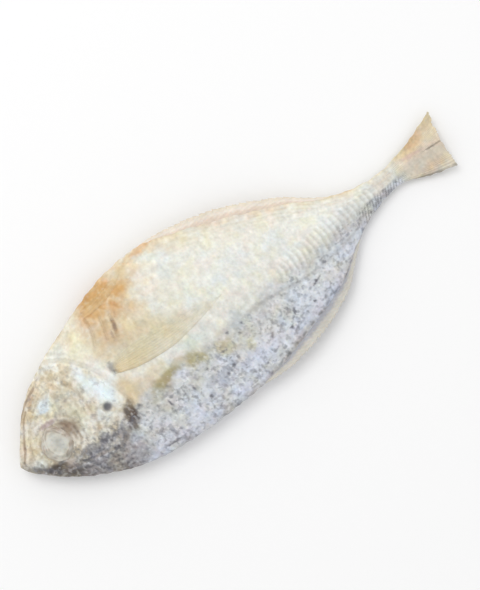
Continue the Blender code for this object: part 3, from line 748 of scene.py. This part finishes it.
def painted(points, flank):
    """The skin's colour at points in percent, and masks of its specks, silvery shine and oil."""
    at = Ground(points, flank)
    colour = base_colour(at)
    for add in (stained, speckled, marked, shaded, tinted):
        colour = add(colour, at)
    shine = at.silver_highlight + 0.35 * at.on_back
    oil = oval(at.x, at.y, *OILY_SKIN) + 0.3 * ramp(-at.level - 0.7)
    masks = [np.clip(mask, 0, 1) for mask in (at.specks, shine, oil)]
    return {"tint": opaque(colour), "masks": np.stack((*masks, np.ones(oil.shape)), -1)}


def opaque(colour):
    """Colours with a fourth value, 1."""
    return np.concatenate((np.clip(colour, 0.01, 0.92), np.ones(colour.shape[:-1])[..., None]), -1)


# ---------- materials


def rgba(*colour):
    return (*srgb(*colour), 1.0)


class Paint:
    """A material's nodes, with short calls for those that the materials here share."""

    def __init__(self, name, roughness=0.5, subsurface=0.0):
        self.material = bpy.data.materials.new(name)
        self.material.use_nodes = True
        self.tree = self.material.node_tree
        self.shader = self.tree.nodes["Principled BSDF"]
        self.set("Roughness", roughness)
        self.set("Subsurface Weight", subsurface)
        self.set("Subsurface Scale", 0.0015)
        self.set("Subsurface Radius", (1.0, 0.55, 0.3))
        self.place = self.tree.nodes.new("ShaderNodeTexCoord").outputs["Object"]

    def node(self, kind, inputs=None, **settings):
        made = self.tree.nodes.new("ShaderNode" + kind)
        for key, value in settings.items():
            setattr(made, key, value)
        for key, value in (inputs or {}).items():
            self.feed(made.inputs[key], value)
        return made

    def feed(self, socket, value):
        if isinstance(value, bpy.types.NodeSocket):
            self.tree.links.new(value, socket)
        else:
            socket.default_value = value

    def set(self, name, value):
        self.feed(self.shader.inputs[name], value)

    def attribute(self, name):
        return self.node("Attribute", attribute_name=name).outputs["Color"]

    def maths(self, operation, first, second=0.0):
        return self.node("Math", {0: first, 1: second}, operation=operation).outputs[0]

    def spots(self, millimetres, detail=2.0, stretch=(1, 1, 1)):
        """Noise from 0 to 1, with spots of about that size."""
        place = self.node("Mapping", {"Vector": self.place, "Scale": stretch}).outputs[0]
        inputs = {"Vector": place, "Scale": 1000.0 / millimetres / 2, "Detail": detail}
        return self.node("TexNoise", inputs).outputs[0]

    def between(self, value, low, high):
        """0 under low, 1 over high, and a smooth step between."""
        inputs = {"Value": value, "From Min": low, "From Max": high}
        return self.node("MapRange", inputs, interpolation_type="SMOOTHSTEP").outputs[0]

    def ranged(self, value, low, high):
        return self.node("MapRange", {"Value": value, "To Min": low, "To Max": high}).outputs[0]

    def mix(self, amount, first, second):
        """first where amount is 0, second where it is 1. 6 and 7 are the node's colour sockets."""
        return self.node("Mix", {0: amount, 6: first, 7: second}, data_type="RGBA").outputs[2]

    def shade(self, colour, value, low, high):
        """colour times low where value is 0, and times high where it is 1."""
        inputs = {0: colour, "Scale": self.ranged(value, low, high)}
        return self.node("VectorMath", inputs, operation="SCALE").outputs[0]

    def cloud(self, colour, spots, low, high, amount, tone):
        """colour with that amount of a tone where the spots, given as for spots(), go over low to high."""
        share = self.maths("MULTIPLY", self.between(self.spots(*spots), low, high), amount)
        return self.mix(share, colour, rgba(*tone))

    def bumps(self, heights, strength, millimetres):
        """Bump from a sum of (height, weight)."""
        total = self.maths("MULTIPLY", *heights[0])
        for height, weight in heights[1:]:
            total = self.maths("ADD", total, self.maths("MULTIPLY", height, weight))
        inputs = {"Strength": strength, "Distance": millimetres / 1000, "Height": total}
        self.set("Normal", self.node("Bump", inputs).outputs[0])


def skin_material():
    paint = Paint("dried_skin", subsurface=0.05)
    tint, masks = paint.attribute("tint"), paint.attribute("masks")
    specks, silver_highlight, oil = paint.node("SeparateColor", {"Color": masks}).outputs[:3]
    fibres = paint.spots(0.9, 3.0, (1.0, 0.45, 1.0))
    pores = paint.spots(0.45, 2.0)
    colour = paint.shade(tint, paint.spots(6.0, 4.0), 0.92, 1.08)
    colour = paint.shade(colour, fibres, 0.83, 1.16)
    colour = paint.shade(colour, pores, 0.88, 1.12)
    colour = paint.cloud(colour, (2.0, 4.0), 0.45, 0.62, paint.maths("MULTIPLY", oil, 0.5), (206, 158, 92))
    colour = paint.cloud(colour, (4.0, 4.0), 0.52, 0.68, 0.14, (220, 206, 164))
    colour = paint.cloud(colour, (5.0, 3.0), 0.55, 0.7, 0.1, (224, 200, 190))
    pepper = paint.maths("ADD", paint.spots(0.8, 4.0), paint.maths("MULTIPLY", specks, 0.1))
    pepper = paint.maths("MULTIPLY", paint.between(pepper, 0.62, 0.74), specks)
    colour = paint.mix(paint.maths("MULTIPLY", pepper, 0.5), colour, rgba(92, 92, 98))
    paint.set("Base Color", colour)
    rough = paint.maths("SUBTRACT", paint.between(fibres, 0.2, 0.9), paint.maths("MULTIPLY", silver_highlight, 0.35))
    paint.set("Roughness", paint.ranged(rough, 0.42, 0.68))
    scales = paint.node("TexVoronoi", {"Vector": paint.place, "Scale": 1300.0}, feature="F1").outputs[0]
    wrinkles = paint.spots(1.3, 5.0, (1.0, 0.5, 1.0))
    paint.bumps(((scales, -0.25), (wrinkles, 1.0), (pores, 0.45), (pepper, -0.2)), 0.6, 0.25)
    return paint.material


def fin_material():
    """Dried membrane and rays. Their colours are painted on the fins' points."""
    paint = Paint("dried_fin", roughness=0.5, subsurface=0.1)
    fibres = paint.spots(0.7, 3.0)
    colour = paint.shade(paint.attribute("tint"), fibres, 0.86, 1.13)
    colour = paint.shade(colour, paint.spots(3.0, 3.0), 0.92, 1.08)
    paint.set("Base Color", colour)
    paint.bumps(((fibres, 0.6), (paint.spots(0.35, 2.0), 0.4)), 0.5, 0.15)
    return paint.material


def eye_material():
    """A cornea that has dried cloudy."""
    paint = Paint("dried_eye", roughness=0.34, subsurface=0.1)
    colour = paint.shade(paint.attribute("tint"), paint.spots(1.0, 4.0), 0.8, 1.16)
    paint.set("Base Color", paint.cloud(colour, (1.6, 3.0), 0.48, 0.68, 0.6, (212, 209, 196)))
    paint.set("Coat Weight", 0.2)
    paint.set("Coat Roughness", 0.3)
    paint.bumps(((paint.spots(0.7, 3.0), 1.0),), 0.5, 0.15)
    return paint.material


# ---------- pieces


def add_object(name, data):
    made = bpy.data.objects.new(name, data)
    bpy.context.scene.collection.objects.link(made)
    return made


def add_piece(name, points, faces, material, colours):
    """A piece of the fish from points in percent, which rides on the fish's one body."""
    mesh = bpy.data.meshes.new(name)
    mesh.from_pydata((np.asarray(points).reshape(-1, 3) * PERCENT).tolist(), [], faces)
    for key, values in colours.items():
        layer = mesh.attributes.new(key, "FLOAT_COLOR", "POINT")
        layer.data.foreach_set("color", values.astype(np.float32).ravel())
    shape = bmesh.new()
    shape.from_mesh(mesh)
    bmesh.ops.remove_doubles(shape, verts=shape.verts, dist=MERGE_DISTANCE)
    shape.to_mesh(mesh)
    shape.free()
    mesh.shade_smooth()
    mesh.materials.append(material)
    piece = add_object(name, mesh)
    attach(piece, BODY)
    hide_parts(NODE)


def grid(rows, columns):
    """How far along and how far across each place of a grid is, from 0 to 1."""
    return np.meshgrid(np.linspace(0, 1, rows), np.linspace(0, 1, columns), indexing="ij")


def wound(faces, outward):
    """The faces as they are, or turned over where outward is negative."""
    return faces if outward > 0 else [face[::-1] for face in faces]


def grid_faces(rows, columns):
    start = np.arange(rows - 1)[:, None] * columns + np.arange(columns - 1)
    return np.stack((start, start + 1, start + columns + 1, start + columns), -1).reshape(-1, 4).tolist()


def add_shell(name, points, thickness, outward, material, colour):
    """A thin closed shell: the points, and under them the same again, lower by thickness."""
    rows, columns = points.shape[:2]
    under = points - np.array((0, 0, 1)) * thickness[..., None]
    count = rows * columns
    top = grid_faces(rows, columns)
    bottom = [[count + i for i in reversed(face)] for face in top]
    index = np.arange(count).reshape(rows, columns)
    ring = np.concatenate((index[0], index[1:, -1], index[-1, -2::-1], index[-2:0:-1, 0])).tolist()
    walls = [[a, count + a, count + b, b] for a, b in zip(ring, ring[1:] + ring[:1])]
    points = np.concatenate((points.reshape(-1, 3), under.reshape(-1, 3)))
    points[:, 2] = np.clip(points[:, 2], 0.0, TOP)
    tint = opaque(colour).reshape(-1, 4)
    faces = wound(top + bottom + walls, outward)
    add_piece(name, points, faces, material, {"tint": np.concatenate((tint, tint))})


def make_flank(name, flank, material):
    """Half of the skin, from the back's edge round to the belly's."""
    head_rings = int(RINGS * HEAD_RINGS_SHARE)
    head = np.linspace(RIB_STATIONS[0], HEAD_PLACE, head_rings, endpoint=False)
    stations = np.concatenate((head, np.linspace(HEAD_PLACE, RIB_STATIONS[-1], RINGS - head_rings)))
    share = np.linspace(0, 1, SIDES[flank])
    angle = 0.35 * math.pi * share + 0.65 * np.arccos(1 - 2 * share)  # closer together at the edges
    place, angle = np.meshgrid(rib_place(stations), angle, indexing="ij")
    points = skin(place, angle, flank)
    add_piece(name, points, wound(grid_faces(RINGS, SIDES[flank]), -flank), material, painted(points, flank))


EYE_STOPS = (
    (0.0, (194, 195, 189)), (0.26, (186, 187, 180)), (0.5, (206, 204, 192)), (0.61, (208, 202, 187)),
    (0.68, (162, 151, 137)), (0.76, (204, 195, 181)), (0.83, (202, 193, 178)), (0.89, (166, 154, 140)),
    (0.95, (196, 186, 172)), (1.0, (168, 154, 140)),
)
# Brown painted shade on the eye's rear, and the darker colour along its top
EYE_REAR_SHADE, EYE_TOP_DARK = srgb(162, 140, 122), srgb(118, 112, 102)
EYE_RING_NOISE = ((2.1, 0.15, 72), (0.8, 0.05, 76))
EYE_CLOUD_NOISE = ((1.5, 1.0, 73), (0.6, 0.5, 74))
EYE_CLOUD_TONES = (((214, 214, 206), 0.6, 0.05, 0.5), ((164, 162, 148), 0.5, 0.1, 0.5))
# The dent in the middle of the eye and the wrinkles round it: share of the radius, width, rise
EYE_WRINKLES = ((0.0, 0.42, -0.14), (0.66, 0.06, 0.04), (0.76, 0.06, -0.05), (0.86, 0.05, 0.03))
EYE_FOOT = 0.12


def eye_colour(x, y, radius, angle):
    """A pale disc in broken rings, with brown painted shade towards the tail, and darker along the top."""
    uneven = noises(x, y, EYE_RING_NOISE, 0) + 0.04 * np.sin(2 * angle + 0.6)
    colour = stops_colour(EYE_STOPS, radius + uneven)
    colour *= 1 - 0.09 * bump(radius - 0.48 + 0.12 * grain(x, y, 1.4, 77), 0.08)[..., None]
    colour = two_tone(colour, noises(x, y, EYE_CLOUD_NOISE, 0), 1.0, EYE_CLOUD_TONES)
    rear_shade = ramp(-np.cos(angle - 0.3)) * ramp((radius - 0.45) * 2.5)
    colour = blend(colour, EYE_REAR_SHADE, 0.75 * rear_shade)
    return blend(colour, EYE_TOP_DARK, 0.6 * ramp(np.sin(angle)) * bump(radius - 0.8, 0.1))


def make_eye(name, flank, material):
    """A low dome with a dent in the middle, since the cornea has sunk."""
    turns, rings = 80, 36
    radius, turn = grid(rings, turns)
    radius = 0.03 + 0.97 * radius
    angle = 2 * math.pi * turn * (turns - 1) / turns
    uneven = grain(2.2 * np.cos(angle), 2.2 * np.sin(angle), 1.0, 75)
    outline = 1 + 0.03 * np.sin(3 * angle + 1) + 0.05 * uneven
    x = EYE[0] + EYEBALL_RADII[0] * radius * outline * np.cos(angle)
    y = EYE[1] + EYEBALL_RADII[1] * radius * outline * np.sin(angle)
    floor = skin_height(np.array([EYE[0]]), np.array([EYE[1]]), flank)[0]
    dome = EYEBALL_RISE * (1 - radius**4) ** 0.5
    dome += sum(height * bump(radius - place, width) for place, width, height in EYE_WRINKLES)
    dome += noises(x, y, EYE_LUMPS, 0)
    z = np.maximum(floor + flank * (dome - EYE_FOOT), 0.0)
    start = np.arange(rings - 1)[:, None] * turns + np.arange(turns)
    after = np.arange(rings - 1)[:, None] * turns + (np.arange(turns) + 1) % turns
    faces = np.stack((start, start + turns, after + turns, after), -1).reshape(-1, 4).tolist()
    faces.append(list(range(turns)))
    colours = {"tint": opaque(eye_colour(x, y, radius, angle))}
    add_piece(name, np.stack((x, y, z), -1), wound(faces, flank), material, colours)


def make_leaf(name, flank, top, bottom, rays, rise, colours, material):
    """A fin pressed on the flank. Its upper edge stands proud, and its lower edge runs into the skin."""
    along, across = grid(LEAF_ROWS, 8 * rays + 1)
    place = along * (len(top) - 1) * 0.985
    upper, lower = through(top, place), through(bottom, place)
    flat = lower + (upper - lower) * across[..., None]
    x, y = flat[..., 0], flat[..., 1]
    x = x + ramp((along - 0.8) * 5) * 0.5 * grain(across * 9, along, 1.0, 80)
    ray = 0.5 + 0.5 * np.cos(2 * math.pi * rays * across)
    rooted = ramp(along * 12)
    proud = rise * (0.04 + 0.96 * ramp(across * 1.3)) * (1 - 0.85 * along) * rooted
    lift = proud * (0.8 + 0.2 * ray) + 0.012 * ray + 0.04 * grain(x, y, 2.0, 81)
    lift -= LEAF_FOOT * ramp(1 - across * 5)
    z = np.maximum(skin_height(x, y, flank) + flank * lift, 0.0)
    thickness = flank * (LEAF_THICKNESS + 0.5 * proud)

    fin_share = 0.85 * ramp(across * 1.4) * (1 - 0.75 * along) * rooted
    fin_colour = stops_colour(tuple(zip((0.0, 0.35, 1.0), colours)), along)
    colour = blend(painted(flat, flank)["tint"][..., :3], fin_colour, fin_share)
    colour *= (1 + 0.05 * (ray - 0.5) + 0.05 * grain(x, y * 3, 1.2, 82))[..., None]
    # Painted shadow along the fin's proud upper edge, deeper where the fin stands higher, fading towards its
    # tip
    colour *= 1 - 2.0 * rise * (bump(across - 1.0, 0.05) * (1 - along))[..., None] * LEAF_EDGE_SHADE
    add_shell(name, np.stack((x, y, z), -1), thickness, flank, material, colour)


def make_edge_fin(name, span, height, outward, colours, material):
    """A fin folded back along the edge of the back (outward 1) or of the belly (-1)."""
    along, across = grid(480, 18)
    x = span[0] + (span[1] - span[0]) * along
    _, back, belly, _, middle = np.moveaxis(through(RIBS, rib_place(x)), -1, 0)
    root = back if outward > 0 else belly
    swept = EDGE_FIN_RAYS * (along - FIN_SWEEP * across) + 0.25 * grain(x, x * 0, 2.0, 94)
    ray = 0.5 + 0.5 * np.cos(2 * math.pi * swept)
    bow = np.sin(math.pi * along)
    tips = (EDGE_FIN_RAYS * (along - FIN_SWEEP)) % 1.0
    worn = 1 - 0.16 * tips - ragged(x, FIN_NOTCHES)
    reach = FIN_FOOT * (1 + bow) / 2 + height * worn * bow**0.8
    y = root + outward * (reach * across - FIN_FOOT)
    lift = (0.28 + 0.1 * grain(x, y, 3.0, 92) + 0.25 * across * grain(x, y, 5.0, 93)) * bow
    thickness = 0.3 - 0.18 * across
    z = middle + lift + 0.05 * (ray - 0.5) * bow + thickness / 2

    colour = stops_colour(tuple(zip((0.0, 0.42, 0.6, 1.0), colours)), across + 0.08 * grain(x, y, 1.5, 95))
    colour *= (0.96 + 0.07 * ray + 0.05 * grain(x, y, 2.0, 96))[..., None]
    add_shell(name, np.stack((x, y, z), -1), thickness, outward, material, colour)


def make_fish():
    skin_paint, eye_paint, fin_paint = skin_material(), eye_material(), fin_material()
    for side, flank in (("right", RIGHT), ("left", LEFT)):
        make_flank(f"{side}_flank", flank, skin_paint)
        make_eye(f"{side}_eye", flank, eye_paint)
        for fin, shape in PRESSED_FINS.items():
            make_leaf(f"{side}_{fin}", flank, *shape, fin_paint)
    for fin, shape in EDGE_FINS.items():
        make_edge_fin(fin, *shape, fin_paint)


# ---------- floor, light and camera


def make_floor():
    mesh = bpy.data.meshes.new("floor")
    corners = [(x * FLOOR_REACH, y * FLOOR_REACH, 0) for x, y in ((-1, -1), (1, -1), (1, 1), (-1, 1))]
    mesh.from_pydata(corners, [], [(0, 1, 2, 3)])
    paint = Paint("floor", roughness=0.8)
    paint.set("Base Color", rgba(250, 250, 250))
    mesh.materials.append(paint.material)
    floor = add_object("floor", mesh)
    floor.location.z = -FLOOR_GAP


def make_studio():
    """An even white sky, and one soft square light from above the picture's upper left."""
    world = bpy.data.worlds.new("studio")
    world.use_nodes = True
    background = world.node_tree.nodes["Background"]
    background.inputs["Color"].default_value = (1.0, 1.0, 1.0, 1.0)
    background.inputs["Strength"].default_value = SKY_STRENGTH
    bpy.context.scene.world = world
    lamp = bpy.data.lights.new("key", "AREA")
    lamp.size, lamp.energy = KEY_SIZE, KEY_ENERGY
    light = add_object("key", lamp)
    light.location = KEY_DIRECTION.normalized() * KEY_DISTANCE
    light.rotation_euler = (-light.location).to_track_quat("-Z", "Y").to_euler()
    bpy.context.scene.view_settings.view_transform = "Standard"


def make_camera():
    data = bpy.data.cameras.new("camera")
    data.lens, data.sensor_width = LENS, SENSOR
    camera = add_object("camera", data)
    back = CAMERA_RIGHT.cross(CAMERA_UP)
    turn = Matrix((CAMERA_RIGHT, CAMERA_UP, back)).transposed()
    picture_height = FISH_WIDTH / FISH_PICTURE_SHARE * PICTURE[1] / PICTURE[0]
    distance = picture_height * LENS / SENSOR
    camera.matrix_world = Matrix.Translation(CAMERA_TARGET + back * distance) @ turn.to_4x4()
    bpy.context.scene.camera = camera


make_fish()
make_floor()
make_studio()
make_camera()
